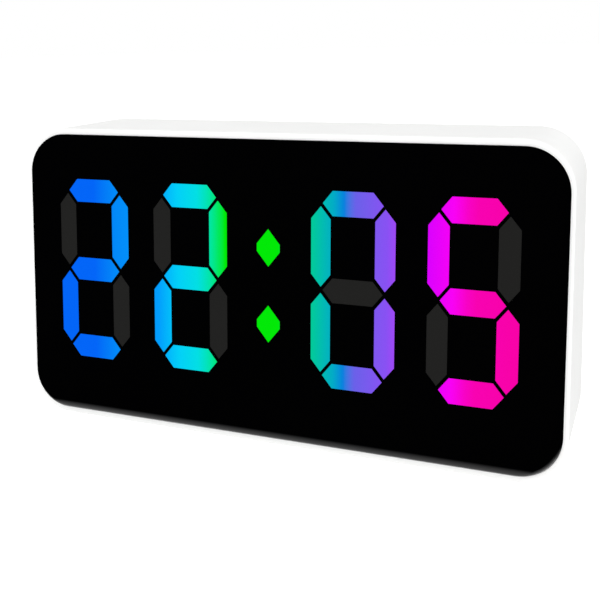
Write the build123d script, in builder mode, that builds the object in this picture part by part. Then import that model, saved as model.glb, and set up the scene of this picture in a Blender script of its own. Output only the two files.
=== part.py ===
from build123d import *
from math import cos, radians, sin, tan
import os

# Desk clock with a black front panel, four seven-segment digits and a white case.
# Millimetres. X runs along the width, the front faces -Y, Z is up, and the feet stand on Z = 0.

# Front panel: a flat face with a rounded edge, standing proud of the case rim
panel_width = 154.5
panel_height = 81.0
panel_corner = 11.0
panel_edge_round = 1.7
panel_land = 0.1
panel_seat = 1.4
lean_angle = 4.0
stack_gap = 0.1

# Case
rim_side = 1.2
rim_top = 1.7
rim_edge_round = 0.4
panel_gap = 0.15
overall_depth = 40.0
side_draft_angle = 2.6
case_wall = 2.6
rear_wall = 4.8
rear_round = 3.5

# Rubber feet
foot_radius = 4.5
foot_height = 1.6
foot_sink = 0.6
foot_gap = 0.1
foot_inset_x = 22.0
foot_inset_y = 8.5
foot_round = 0.4

# Digits: places on the panel, measured from its middle, those across as shares of its width,
# and the shape of a segment
digit_inner_share = 0.1537
digit_outer_share = 0.356
digits_rise = 2.0
column_half_pitch = 8.75
row_pitch = 22.7
segment_half_width = 2.75
segment_half_height = 3.3
tip_gap_x = 0.47
tip_gap_y = 0.77
colon_half_width = 3.4
colon_half_height = 5.1
colon_half_pitch = 10.3
colon_drop = 0.3
window_clearance = 0.05
diffuser_recess = 0.1

# Frame with a light well behind each segment
well_depth = 6.0
well_taper = 9.0
frame_margin = 1.4
frame_corner = 3.0

# Display board and what it carries
board_thickness = 1.6
led_board_side_margin = 2.75
led_board_top_margin = 6.6
led_board_corner = 3.0
boss_radius = 2.3
boss_inset = 3.8
led_length = 3.2
led_width = 2.2
led_height = 1.4
led_spread = 3.4

# Small machine screws
screw_shank_radius = 1.1
screw_clearance = 0.06
screw_head_radius = 2.1
screw_head_height = 1.3
screw_head_round = 0.4
display_screw_length = 5.5
board_screw_length = 5.0
case_screw_length = 8.0

# Rear cover and the posts in the case that it is screwed to
cover_border = 6.0
cover_gap = 0.2
cover_inset = 1.0
cover_thickness = 2.0
cover_corner = 7.0
cover_ledge = 2.0
case_screw_inset = 5.8
case_post_radius = 4.5
case_post_length = 9.0
counterbore_depth = 1.1
counterbore_gap = 0.25

# Main board, standing on posts of the rear cover
main_board_stand = 6.2
main_board_side_margin = 14.0
main_board_top_margin = 4.6
main_board_low_margin = 8.25
main_board_corner = 1.5
bay_clearance = 3.0
board_post_radius = 2.6
board_post_inset = 4.0

# Buttons and the key switches under them
button_pitch_share = 0.1268
button_inset = 9.5
button_radius = 3.5
button_gap = 0.3
button_stand = 0.9
button_edge_round = 0.45
flange_radius = 4.6
flange_gap = 0.25
switch_side = 6.0
switch_height = 3.4
plunger_radius = 1.7
plunger_clearance = 0.05
plunger_stand = 1.3
plunger_depth = 1.2
plunger_spare = 0.9

# Battery bay, moulded on the rear cover, and its cells
cell_radius = 5.2
cell_length = 43.5
cell_nub_radius = 1.9
cell_nub_height = 0.9
cell_edge_round = 0.5
cell_pitch = 11.2
spring_length = 5.0
bay_margin = 4.8
bay_side_gap = 0.3
bay_depth = 11.8
bay_floor = 1.2
bay_wall = 1.2
bay_rib = 0.6
bay_rib_height = 3.0
door_ledge = 1.5
door_gap = 0.25
door_seat_gap = 0.2
door_thickness = 1.8
door_corner = 2.0
door_edge_round = 0.3
grip_width = 14.0
grip_height = 4.0
grip_depth = 0.9
grip_inset = 5.0
spring_radius = 2.9
spring_wire_radius = 0.27
spring_wire_sides = 12
spring_pitch = 1.2
contact_thickness = 0.4
contact_side = 7.6

# Chips and other parts on the boards
chip_length = 18.0
chip_width = 7.5
chip_height = 2.3
chip_stand = 0.15
chip_edge = 0.2
leg_pitch = 1.27
leg_width = 0.42
leg_reach = 1.4
leg_thickness = 0.5
legs_per_side = 14
driver_rise = 6.0
crystal_length = 11.0
crystal_width = 4.4
crystal_height = 3.4
crystal_round = 0.5
crystal_x = 22.0
capacitor_radius = 3.15
capacitor_height = 6.2
capacitor_round = 0.5
capacitor_x = -22.0
buzzer_radius = 6.0
buzzer_height = 5.4
buzzer_round = 0.5
buzzer_hole_radius = 1.2
buzzer_hole_depth = 1.0
buzzer_inset_x = 7.0
buzzer_inset_y = 18.0
grille_hole_radius = 0.75
grille_pitch = 2.6
grille_rings = 2
socket_width = 8.9
socket_height = 3.3
socket_wall = 0.35
socket_tongue_width = 6.4
socket_tongue_height = 0.7
socket_tongue_drop = 1.0
socket_floor = 1.8
socket_length = 7.6
socket_gap = 0.45
socket_inset_x = 7.5
socket_inset_y = 12.0

# Ribbon between the two boards
connector_length = 18.0
connector_width = 4.0
connector_height = 2.6
connector_rise = 16.0
ribbon_inset = 12.5
ribbon_width = 15.0
ribbon_thickness = 0.5
ribbon_sag = 6.0
ribbon_bend = 2.4

# How far a cut runs past the faces that it has to clear
overrun = 1.0

# Places that follow from the sizes above
lean = radians(lean_angle)
panel_stand = panel_edge_round + panel_land
rim_width = panel_width + 2 * (panel_gap + rim_side)
rim_height = panel_height + 2 * (panel_gap + rim_top)
rim_corner = panel_corner + panel_gap + rim_side
case_height = rim_height * cos(lean)
case_base = foot_height - foot_sink
middle_z = case_base + case_height / 2
back_y = overall_depth / 2
edge_lead = (panel_height / 2 - panel_edge_round) * sin(lean)
face_y = -back_y + panel_edge_round + panel_land * cos(lean) + edge_lead
side_draft = tan(radians(side_draft_angle))
back_width = rim_width - 2 * (back_y - face_y) * side_draft
nose_depth = overall_depth + overrun
nose_width = back_width + 2 * nose_depth * side_draft

# The face plane lies on the case rim and looks out of the front.
# The back plane lies on the back of the case and looks into it.
face_plane = Plane(origin=(0, face_y, middle_z), x_dir=(1, 0, 0), z_dir=(0, -cos(lean), sin(lean)))
back_plane = Plane(origin=(0, back_y, middle_z), x_dir=(1, 0, 0), z_dir=(0, -1, 0))
outward = Axis(face_plane.origin, face_plane.z_dir)

# Digits and display board
digit_inner_x = panel_width * digit_inner_share
digit_outer_x = panel_width * digit_outer_share
led_board_width = panel_width - 2 * led_board_side_margin
led_board_height = panel_height - 2 * led_board_top_margin

# Depths behind the rim, square to the leaning face
frame_front = panel_seat + stack_gap
board_front = frame_front + well_depth + stack_gap
board_back = board_front + board_thickness

# Depths in from the back of the case
cover_inside = cover_inset + cover_thickness
main_rear = cover_inside + main_board_stand
main_front = main_rear + board_thickness
switch_top = main_rear - switch_height
plunger_top = switch_top - plunger_stand
bay_top = cover_inset + door_thickness + door_seat_gap
bay_bottom = bay_top + bay_depth

# Rear cover
cover_width = back_width - 2 * cover_border
cover_height = case_height - 2 * cover_border

# Battery bay and door, seen from the back
bay_length = cell_length + cell_nub_height + spring_length + 2 * contact_thickness
bay_height = 2 * (cell_pitch + cell_radius + bay_side_gap)
door_hole_length = bay_length + 2 * door_ledge
door_hole_height = bay_height + 2 * door_ledge
bay_outer_length = door_hole_length + 2 * bay_wall
bay_outer_height = door_hole_height + 2 * bay_wall
bay_drop = cover_height / 2 - bay_outer_height / 2 - bay_margin
cell_rises = (-bay_drop - cell_pitch, -bay_drop, -bay_drop + cell_pitch)
cell_depth = bay_bottom - stack_gap - cell_radius

# Main board, the buttons over it and what it carries: it goes round the battery bay on three sides
main_board_half_width = cover_width / 2 - main_board_side_margin
main_board_rise = cover_height / 2 - main_board_top_margin
main_board_drop = cover_height / 2 - main_board_low_margin
notch_half_width = bay_outer_length / 2 + bay_clearance
notch_top = bay_outer_height / 2 - bay_drop + bay_clearance
chip_rise = (notch_top + main_board_rise) / 2
button_pitch = cover_width * button_pitch_share
button_rise = cover_height / 2 - button_inset
buzzer_x = main_board_half_width - buzzer_inset_x
buzzer_drop = main_board_drop - buzzer_inset_y
socket_x = socket_inset_x - main_board_half_width
socket_drop = main_board_drop - socket_inset_y
ribbon_x = main_board_half_width - ribbon_inset

# Columns and rows of the segments, by the usual letters
segment_places = {
    "a": (0, 1, "lying"),
    "b": (1, 0.5, "standing"),
    "c": (1, -0.5, "standing"),
    "d": (0, -1, "lying"),
    "e": (-1, -0.5, "standing"),
    "f": (-1, 0.5, "standing"),
    "g": (0, 0, "lying"),
}
digit_centres = (-digit_outer_x, -digit_inner_x, digit_inner_x, digit_outer_x)
lit_letters = ("abged", "abged", "abcdef", "afgcd")


def digit_segments(digit, letters):
    """Lists the middle and the kind of the named segments of one digit."""
    found = []
    for letter in letters:
        column, row, kind = segment_places[letter]
        x = digit_centres[digit] + column * column_half_pitch
        found.append((x, digits_rise + row * row_pitch, kind))
    return found


colon_middle = digits_rise - colon_drop
colon_segments = [(0, colon_middle + colon_half_pitch, "dot"), (0, colon_middle - colon_half_pitch, "dot")]
digit_places = [place for digit in range(4) for place in digit_segments(digit, "abcdefg")]
all_segments = digit_places + colon_segments


def draw_segments(places, shrink):
    """Adds six-sided segment faces to the sketch under way, each pulled in by the length given."""
    slope = segment_half_height / segment_half_width
    for x, y, kind in places:
        if kind == "lying":
            side = segment_half_height
            tip = column_half_pitch - tip_gap_x
            shoulder = tip - segment_half_width
            half = ((-tip, 0), (-shoulder, -side), (shoulder, -side))
        else:
            standing = kind == "standing"
            side = segment_half_width if standing else colon_half_width
            tip = row_pitch / 2 - tip_gap_y if standing else colon_half_height
            shoulder = tip - side * slope
            half = ((0, -tip), (side, -shoulder), (side, shoulder))
        with BuildSketch(mode=Mode.PRIVATE) as outline:
            with BuildLine():
                Polyline(*half, *[(-across, -up) for across, up in half], close=True)
            make_face()
            if shrink:
                offset(amount=-shrink, kind=Kind.INTERSECTION, mode=Mode.REPLACE)
        with Locations((x, y)):
            add(outline.sketch)


def corner_places(half_width, low, high):
    """Lists the four corners of a field that is symmetric left to right."""
    return [(-half_width, low), (half_width, low), (-half_width, high), (half_width, high)]


def draw_circles(places, radius):
    """Adds equal circles to the sketch under way."""
    with Locations(*places):
        Circle(radius)


def make_screws(plane, places, length, head_side):
    """Makes pan-head screws, their heads resting on the plane, on the side of its normal that is given."""
    with BuildPart() as screws:
        with BuildSketch(plane):
            draw_circles(places, screw_head_radius)
        extrude(amount=head_side * screw_head_height)
        head_axis = Axis(plane.origin, plane.z_dir * head_side)
        fillet(screws.edges().filter_by(GeomType.CIRCLE).group_by(head_axis)[-1], screw_head_round)
        with BuildSketch(plane):
            draw_circles(places, screw_shank_radius)
        extrude(amount=-head_side * length)
    return screws.part


def save(part, name):
    """Names a finished sub-part and writes it to its own file."""
    part.label = name
    export_step(part, f"parts/{name}.step")


boss_x = led_board_width / 2 - boss_inset
boss_y = led_board_height / 2 - boss_inset
boss_places = corner_places(boss_x, digits_rise - boss_y, digits_rise + boss_y)
case_screw_places = corner_places(
    cover_width / 2 - case_screw_inset,
    case_screw_inset - cover_height / 2,
    cover_height / 2 - case_screw_inset,
)
board_post_places = corner_places(
    main_board_half_width - board_post_inset,
    board_post_inset - main_board_drop,
    main_board_rise - board_post_inset,
)
button_names = ("alarm", "down", "up", "set", "mode")
button_places = [((index - 2) * button_pitch, button_rise) for index in range(len(button_names))]

os.makedirs("parts", exist_ok=True)


# Front panel: a rounded slab with a window for every segment, and a boss in each corner behind it
with BuildPart() as front_panel:
    with BuildSketch(face_plane.offset(panel_stand)):
        RectangleRounded(panel_width, panel_height, panel_corner)
    extrude(amount=-(panel_stand + panel_seat))
    fillet(front_panel.faces().sort_by(outward)[-1].edges(), panel_edge_round)
    with BuildSketch(face_plane.offset(panel_stand)):
        draw_segments(all_segments, 0)
    extrude(amount=-(panel_stand + panel_seat + overrun), mode=Mode.SUBTRACT)
    with BuildSketch(face_plane.offset(-panel_seat)):
        draw_circles(boss_places, boss_radius)
    extrude(amount=-(board_front - panel_seat))
    with BuildSketch(face_plane.offset(-board_front)):
        draw_circles(boss_places, screw_shank_radius + screw_clearance)
    extrude(amount=display_screw_length - board_thickness, mode=Mode.SUBTRACT)
save(front_panel.part, "front_panel")


# Diffusers: a prism fills each window, just below the face
def make_diffusers(places):
    """Makes the diffusers of the segments listed."""
    with BuildPart() as diffusers:
        with BuildSketch(face_plane.offset(-panel_seat)):
            draw_segments(places, window_clearance)
        extrude(amount=panel_seat + panel_stand - diffuser_recess)
    return diffusers.part


for digit in range(4):
    dark_letters = [letter for letter in "abcdefg" if letter not in lit_letters[digit]]
    save(make_diffusers(digit_segments(digit, lit_letters[digit])), f"digit_{digit + 1}_lit")
    save(make_diffusers(digit_segments(digit, dark_letters)), f"digit_{digit + 1}_dark")
save(make_diffusers(colon_segments), "colon_dots")


# Light-well frame: each well narrows from its window to the light sources behind it
frame_half_width = digit_outer_x + column_half_pitch + segment_half_width + frame_margin
frame_half_height = row_pitch + segment_half_height + frame_margin
with BuildPart() as light_well_frame:
    with BuildSketch(face_plane.offset(-frame_front)):
        with Locations((0, digits_rise)):
            RectangleRounded(2 * frame_half_width, 2 * frame_half_height, frame_corner)
    extrude(amount=-well_depth)
    with BuildSketch(face_plane.offset(-frame_front)):
        draw_segments(all_segments, 0)
    extrude(amount=-(well_depth + overrun), taper=well_taper, mode=Mode.SUBTRACT)
save(light_well_frame.part, "light_well_frame")


# Display board
with BuildPart() as led_board:
    with BuildSketch(face_plane.offset(-board_front)):
        with Locations((0, digits_rise)):
            RectangleRounded(led_board_width, led_board_height, led_board_corner)
        with Locations(*boss_places):
            Circle(screw_shank_radius + screw_clearance, mode=Mode.SUBTRACT)
    extrude(amount=-board_thickness)
save(led_board.part, "led_board")


# Light sources: two in each segment's well and one behind each dot of the colon
with BuildPart() as segment_leds:
    with BuildSketch(face_plane.offset(-board_front)):
        for x, y, kind in digit_places:
            along = (led_spread, 0) if kind == "lying" else (0, led_spread)
            size = (led_length, led_width) if kind == "lying" else (led_width, led_length)
            with Locations((x - along[0], y - along[1]), (x + along[0], y + along[1])):
                Rectangle(*size)
        with Locations(*[(x, y) for x, y, kind in colon_segments]):
            Rectangle(led_width, led_length)
    extrude(amount=led_height)
save(segment_leds.part, "segment_leds")

save(make_screws(face_plane.offset(-board_back), boss_places, display_screw_length, -1), "display_screws")


# Case: a shell with drafted sides, cut off along the face. It has a seat for the front panel,
# a rear opening with a rebate, and four screw posts
with BuildPart() as case_shell:
    with BuildSketch(back_plane):
        RectangleRounded(back_width, case_height, rim_corner)
    with BuildSketch(back_plane.offset(nose_depth)):
        RectangleRounded(nose_width, case_height, rim_corner)
    loft(ruled=True)
    split(bisect_by=face_plane, keep=Keep.BOTTOM)
    fillet(case_shell.faces().sort_by(Axis.Y)[-1].edges(), rear_round)
    fillet(case_shell.faces().sort_by(outward)[-1].edges(), rim_edge_round)
    inner_height = case_height - 2 * case_wall
    inner_corner = rim_corner - case_wall
    inner_width = back_width + 2 * rear_wall * side_draft - 2 * case_wall
    with BuildSketch(back_plane.offset(rear_wall)):
        RectangleRounded(inner_width, inner_height, inner_corner)
    with BuildSketch(back_plane.offset(nose_depth)):
        RectangleRounded(nose_width - 2 * case_wall, inner_height, inner_corner)
    loft(ruled=True, mode=Mode.SUBTRACT)
    with BuildSketch(face_plane):
        RectangleRounded(panel_width + 2 * panel_gap, panel_height + 2 * panel_gap, panel_corner + panel_gap)
    extrude(amount=-frame_front, mode=Mode.SUBTRACT)
    with BuildSketch(back_plane):
        RectangleRounded(cover_width + 2 * cover_gap, cover_height + 2 * cover_gap, cover_corner + cover_gap)
    extrude(amount=cover_inside, mode=Mode.SUBTRACT)
    with BuildSketch(back_plane.offset(cover_inside)):
        Rectangle(cover_width - 2 * cover_ledge, cover_height - 2 * cover_ledge)
    extrude(amount=rear_wall, mode=Mode.SUBTRACT)
    with BuildSketch(back_plane.offset(cover_inside)):
        draw_circles(case_screw_places, case_post_radius)
    extrude(amount=case_post_length)
    with BuildSketch(back_plane.offset(cover_inside)):
        draw_circles(case_screw_places, screw_shank_radius + screw_clearance)
    extrude(amount=case_screw_length, mode=Mode.SUBTRACT)
    with BuildSketch(Plane.XY.offset(case_base)):
        with GridLocations(rim_width - 2 * foot_inset_x, overall_depth - 2 * foot_inset_y, 2, 2):
            Circle(foot_radius + foot_gap)
    extrude(amount=foot_sink, mode=Mode.SUBTRACT)
save(case_shell.part, "case_shell")


# Rubber feet
with BuildPart() as rubber_feet:
    with BuildSketch(Plane.XY):
        with GridLocations(rim_width - 2 * foot_inset_x, overall_depth - 2 * foot_inset_y, 2, 2):
            Circle(foot_radius)
    extrude(amount=foot_height)
    fillet(rubber_feet.edges().filter_by(GeomType.CIRCLE).group_by(Axis.Z)[0], foot_round)
save(rubber_feet.part, "rubber_feet")


# Rear cover: a plate with the battery bay, board posts, button holes, sound holes and socket hole
with BuildPart() as rear_cover:
    with BuildSketch(back_plane.offset(cover_inset)):
        RectangleRounded(cover_width, cover_height, cover_corner)
    extrude(amount=cover_thickness)
    with BuildSketch(back_plane.offset(cover_inside)):
        with Locations((0, -bay_drop)):
            RectangleRounded(bay_outer_length, bay_outer_height, door_corner + bay_wall)
    extrude(amount=bay_bottom + bay_floor - cover_inside)
    with BuildSketch(back_plane.offset(cover_inset)):
        with Locations((0, -bay_drop)):
            RectangleRounded(door_hole_length, door_hole_height, door_corner)
    extrude(amount=bay_top - cover_inset, mode=Mode.SUBTRACT)
    with BuildSketch(back_plane.offset(bay_top)):
        with Locations((0, -bay_drop)):
            Rectangle(bay_length, bay_height)
    extrude(amount=bay_depth, mode=Mode.SUBTRACT)
    with BuildSketch(back_plane.offset(bay_bottom)):
        with Locations((0, -bay_drop - cell_pitch / 2), (0, -bay_drop + cell_pitch / 2)):
            Rectangle(bay_length, bay_rib)
    extrude(amount=-bay_rib_height)
    with BuildSketch(back_plane.offset(cover_inside)):
        draw_circles(board_post_places, board_post_radius)
    extrude(amount=main_board_stand)
    with BuildSketch(back_plane.offset(main_rear)):
        draw_circles(board_post_places, screw_shank_radius + screw_clearance)
    extrude(amount=-(board_screw_length - board_thickness), mode=Mode.SUBTRACT)
    with BuildSketch(back_plane.offset(cover_inset)):
        draw_circles(button_places, button_radius + button_gap)
        draw_circles(case_screw_places, screw_shank_radius + screw_clearance)
        with Locations((socket_x, -socket_drop)):
            SlotOverall(socket_width + 2 * socket_gap, socket_height + 2 * socket_gap)
        with Locations((buzzer_x, -buzzer_drop)):
            Circle(grille_hole_radius)
            for ring in range(1, grille_rings + 1):
                with PolarLocations(ring * grille_pitch, 6 * ring):
                    Circle(grille_hole_radius)
    extrude(amount=cover_thickness, mode=Mode.SUBTRACT)
    with BuildSketch(back_plane.offset(cover_inset)):
        draw_circles(case_screw_places, screw_head_radius + counterbore_gap)
    extrude(amount=counterbore_depth, mode=Mode.SUBTRACT)
save(rear_cover.part, "rear_cover")

case_screw_plane = back_plane.offset(cover_inset + counterbore_depth)
save(make_screws(case_screw_plane, case_screw_places, case_screw_length, -1), "case_screws")


# Main board
with BuildPart() as main_board:
    with BuildSketch(back_plane.offset(main_rear)) as outline:
        with BuildLine():
            Polyline(
                (-main_board_half_width, -main_board_drop),
                (-notch_half_width, -main_board_drop),
                (-notch_half_width, notch_top),
                (notch_half_width, notch_top),
                (notch_half_width, -main_board_drop),
                (main_board_half_width, -main_board_drop),
                (main_board_half_width, main_board_rise),
                (-main_board_half_width, main_board_rise),
                close=True,
            )
        make_face()
        fillet(outline.vertices(), main_board_corner)
        with Locations(*board_post_places):
            Circle(screw_shank_radius + screw_clearance, mode=Mode.SUBTRACT)
    extrude(amount=board_thickness)
save(main_board.part, "main_board")

save(make_screws(back_plane.offset(main_front), board_post_places, board_screw_length, 1), "board_screws")


# Key switches: a square body each, bored for its plunger
with BuildPart() as switch_bodies:
    with BuildSketch(back_plane.offset(main_rear)):
        with Locations(*button_places):
            Rectangle(switch_side, switch_side)
    extrude(amount=-switch_height)
    with BuildSketch(back_plane.offset(switch_top)):
        draw_circles(button_places, plunger_radius + plunger_clearance)
    extrude(amount=plunger_depth + plunger_spare, mode=Mode.SUBTRACT)
save(switch_bodies.part, "switch_bodies")


# Plungers and button caps: each cap has a flange that keeps it behind the rear cover
for name, place in zip(button_names, button_places):
    with BuildPart() as plunger:
        with BuildSketch(back_plane.offset(plunger_top)):
            draw_circles([place], plunger_radius)
        extrude(amount=plunger_stand + plunger_depth)
    save(plunger.part, f"{name}_plunger")

    with BuildPart() as button:
        with BuildSketch(back_plane.offset(plunger_top)):
            draw_circles([place], flange_radius)
        extrude(amount=-(plunger_top - cover_inside - flange_gap))
        with BuildSketch(back_plane.offset(plunger_top)):
            draw_circles([place], button_radius)
        extrude(amount=-(plunger_top - cover_inset + button_stand))
        fillet(button.faces().sort_by(Axis.Y)[-1].edges(), button_edge_round)
    save(button.part, f"{name}_button")


# Battery door, with a shallow grip for a fingertip
door_height = door_hole_height - 2 * door_gap
with BuildPart() as battery_door:
    with BuildSketch(back_plane.offset(cover_inset)):
        with Locations((0, -bay_drop)):
            RectangleRounded(door_hole_length - 2 * door_gap, door_height, door_corner - door_gap)
    extrude(amount=door_thickness)
    fillet(battery_door.faces().sort_by(Axis.Y)[-1].edges(), door_edge_round)
    with BuildSketch(back_plane.offset(cover_inset)):
        with Locations((0, door_height / 2 - bay_drop - grip_inset)):
            SlotOverall(grip_width, grip_height)
    extrude(amount=grip_depth, mode=Mode.SUBTRACT)
save(battery_door.part, "battery_door")


# Cells: side by side, the middle one turned round
cell_facing = (1, -1, 1)
cell_shift = (bay_length - cell_length) / 2 - contact_thickness - cell_nub_height
with BuildPart() as battery_cells:
    for facing, rise in zip(cell_facing, cell_rises):
        nub_end = Plane(
            origin=(facing * (cell_shift + cell_length / 2), back_y - cell_depth, middle_z + rise),
            z_dir=(facing, 0, 0),
        )
        with BuildSketch(nub_end):
            Circle(cell_radius)
        extrude(amount=-cell_length)
    fillet(battery_cells.edges().filter_by(GeomType.CIRCLE), cell_edge_round)
    for facing, rise in zip(cell_facing, cell_rises):
        nub_end = Plane(
            origin=(facing * (cell_shift + cell_length / 2), back_y - cell_depth, middle_z + rise),
            z_dir=(facing, 0, 0),
        )
        with BuildSketch(nub_end):
            Circle(cell_nub_radius)
        extrude(amount=cell_nub_height)
save(battery_cells.part, "battery_cells")


def contact_plane(side, rise):
    """Gives the plane of a bay end wall at one cell, looking into the bay."""
    return Plane(origin=(side * bay_length / 2, back_y - cell_depth, middle_z + rise), z_dir=(-side, 0, 0))


# Contacts: a flat plate against each nub, and a plate with a coil spring at each other end
with BuildPart() as flat_contacts:
    for facing, rise in zip(cell_facing, cell_rises):
        with BuildSketch(contact_plane(facing, rise)):
            Rectangle(contact_side, contact_side)
        extrude(amount=contact_thickness)
save(flat_contacts.part, "flat_contacts")

with BuildPart() as spring_contacts:
    for facing, rise in zip(cell_facing, cell_rises):
        with BuildSketch(contact_plane(-facing, rise)):
            Rectangle(contact_side, contact_side)
        extrude(amount=contact_thickness)
        with BuildLine(contact_plane(-facing, rise).offset(contact_thickness + spring_wire_radius)) as coil:
            Helix(
                spring_pitch,
                spring_length - 2 * spring_wire_radius,
                spring_radius,
                direction=(facing, 0, 0),
            )
        with BuildSketch(Plane(origin=coil.line @ 0, z_dir=coil.line % 0)):
            RegularPolygon(spring_wire_radius, spring_wire_sides)
        sweep(path=coil.line)
save(spring_contacts.part, "spring_contacts")


# Chips: one on each board, with a row of legs along each long side
chip_planes = (
    (back_plane.offset(main_front), 1, chip_rise),
    (face_plane.offset(-board_back), -1, digits_rise + driver_rise),
)
chips = []
for plane, side, rise in chip_planes:
    with BuildPart() as chip:
        with BuildSketch(plane.offset(side * chip_stand)):
            with Locations((0, rise)):
                Rectangle(chip_length, chip_width)
        extrude(amount=side * (chip_height - chip_stand))
        chamfer(chip.faces().sort_by(Axis(plane.origin, plane.z_dir * side))[-1].edges(), chip_edge)
    chips.append(chip.part)
save(chips[0], "controller_chip")
save(chips[1], "display_driver_chip")

with BuildPart() as chip_legs:
    for plane, side, rise in chip_planes:
        with BuildSketch(plane):
            with Locations((0, rise)):
                with GridLocations(leg_pitch, chip_width + leg_reach, legs_per_side, 2):
                    Rectangle(leg_width, leg_reach)
        extrude(amount=side * leg_thickness)
save(chip_legs.part, "chip_legs")


# Crystal, capacitor and buzzer
with BuildPart() as timing_crystal:
    with BuildSketch(back_plane.offset(main_front)):
        with Locations((crystal_x, chip_rise)):
            SlotOverall(crystal_length, crystal_width)
    extrude(amount=crystal_height)
    fillet(timing_crystal.faces().sort_by(Axis.Y)[0].edges(), crystal_round)
save(timing_crystal.part, "timing_crystal")

with BuildPart() as smoothing_capacitor:
    with BuildSketch(back_plane.offset(main_front)):
        with Locations((capacitor_x, chip_rise)):
            Circle(capacitor_radius)
    extrude(amount=capacitor_height)
    fillet(smoothing_capacitor.faces().sort_by(Axis.Y)[0].edges(), capacitor_round)
save(smoothing_capacitor.part, "smoothing_capacitor")

with BuildPart() as alarm_buzzer:
    with BuildSketch(back_plane.offset(main_rear)):
        with Locations((buzzer_x, -buzzer_drop)):
            Circle(buzzer_radius)
    extrude(amount=-buzzer_height)
    fillet(alarm_buzzer.faces().sort_by(Axis.Y)[-1].edges(), buzzer_round)
    with BuildSketch(back_plane.offset(main_rear - buzzer_height)):
        with Locations((buzzer_x, -buzzer_drop)):
            Circle(buzzer_hole_radius)
    extrude(amount=buzzer_hole_depth, mode=Mode.SUBTRACT)
save(alarm_buzzer.part, "alarm_buzzer")


# Power socket: a rounded metal mouth with a tongue in it, standing on the main board
with BuildPart() as power_socket:
    with BuildSketch(back_plane.offset(main_rear)):
        with Locations((socket_x, -socket_drop)):
            SlotOverall(socket_width, socket_height)
    extrude(amount=-socket_length)
    with BuildSketch(back_plane.offset(main_rear - socket_floor)):
        with Locations((socket_x, -socket_drop)):
            SlotOverall(socket_width - 2 * socket_wall, socket_height - 2 * socket_wall)
    extrude(amount=-socket_length, mode=Mode.SUBTRACT)
    with BuildSketch(back_plane.offset(main_rear - socket_floor)):
        with Locations((socket_x, -socket_drop)):
            Rectangle(socket_tongue_width, socket_tongue_height)
    extrude(amount=-(socket_length - socket_floor - socket_tongue_drop))
save(power_socket.part, "power_socket")


# Ribbon: hangs in a loop between a connector on each board
with BuildPart() as ribbon_connectors:
    with BuildSketch(back_plane.offset(main_front)):
        with Locations((ribbon_x, connector_rise)):
            Rectangle(connector_length, connector_width)
    extrude(amount=connector_height)
    with BuildSketch(face_plane.offset(-board_back)):
        with Locations((ribbon_x, connector_rise)):
            Rectangle(connector_length, connector_width)
    extrude(amount=-connector_height)
save(ribbon_connectors.part, "ribbon_connectors")

ribbon_start_rise = connector_rise - connector_width / 2
display_end = face_plane.from_local_coords((ribbon_x, ribbon_start_rise, -board_back - connector_height / 2))
display_bend = face_plane.from_local_coords(
    (ribbon_x, ribbon_start_rise - ribbon_sag, -board_back - connector_height / 2)
)
main_y = back_y - main_front - connector_height / 2
with BuildPart() as ribbon_cable:
    with BuildSketch(Plane.YZ.offset(ribbon_x - ribbon_width / 2)):
        with BuildLine() as ribbon_line:
            Polyline(
                (display_end.Y, display_end.Z),
                (display_bend.Y, display_bend.Z),
                (main_y, display_bend.Z),
                (main_y, middle_z + ribbon_start_rise),
            )
            bends = ribbon_line.vertices().group_by(Axis.Y)[0]
            fillet(bends, ribbon_bend)
        trace(ribbon_line.line, ribbon_thickness)
    extrude(amount=ribbon_width)
save(ribbon_cable.part, "ribbon_cable")
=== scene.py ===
import math

import bmesh
import bpy
from bpy.props import FloatProperty, FloatVectorProperty, IntProperty, PointerProperty
from bpy.types import Operator, Panel, PropertyGroup
from mathutils import Matrix, Vector


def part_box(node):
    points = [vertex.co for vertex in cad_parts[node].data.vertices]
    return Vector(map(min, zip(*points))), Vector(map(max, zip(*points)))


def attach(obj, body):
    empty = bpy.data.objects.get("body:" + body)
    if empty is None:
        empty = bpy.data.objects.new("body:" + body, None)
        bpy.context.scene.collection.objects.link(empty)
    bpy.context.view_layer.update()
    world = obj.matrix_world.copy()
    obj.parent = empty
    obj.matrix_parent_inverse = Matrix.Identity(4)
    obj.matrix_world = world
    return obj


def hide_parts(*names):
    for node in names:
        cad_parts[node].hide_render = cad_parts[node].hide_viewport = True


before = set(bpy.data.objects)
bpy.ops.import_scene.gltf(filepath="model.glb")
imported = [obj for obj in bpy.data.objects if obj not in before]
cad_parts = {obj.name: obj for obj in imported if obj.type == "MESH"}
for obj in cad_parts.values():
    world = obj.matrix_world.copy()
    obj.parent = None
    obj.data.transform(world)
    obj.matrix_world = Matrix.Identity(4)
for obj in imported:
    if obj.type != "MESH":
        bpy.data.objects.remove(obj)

bl_info = {
    "name": "Desk clock",
    "version": (1, 0, 0),
    "blender": (4, 5, 0),
    "location": "3D View > Sidebar > Desk clock",
    "description": "Finishes, small fittings and the studio of a desk clock with lit digits",
    "category": "Object",
}

MM = 0.001
DIGITS = (1, 2, 3, 4)
KEYS = ("alarm", "down", "up", "set", "mode")
BLACK = (0.0, 0.0, 0.0)
WHITE = (1.0, 1.0, 1.0)
DUST = (0.62, 0.60, 0.56)
TINNED = (0.62, 0.60, 0.54)

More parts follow.
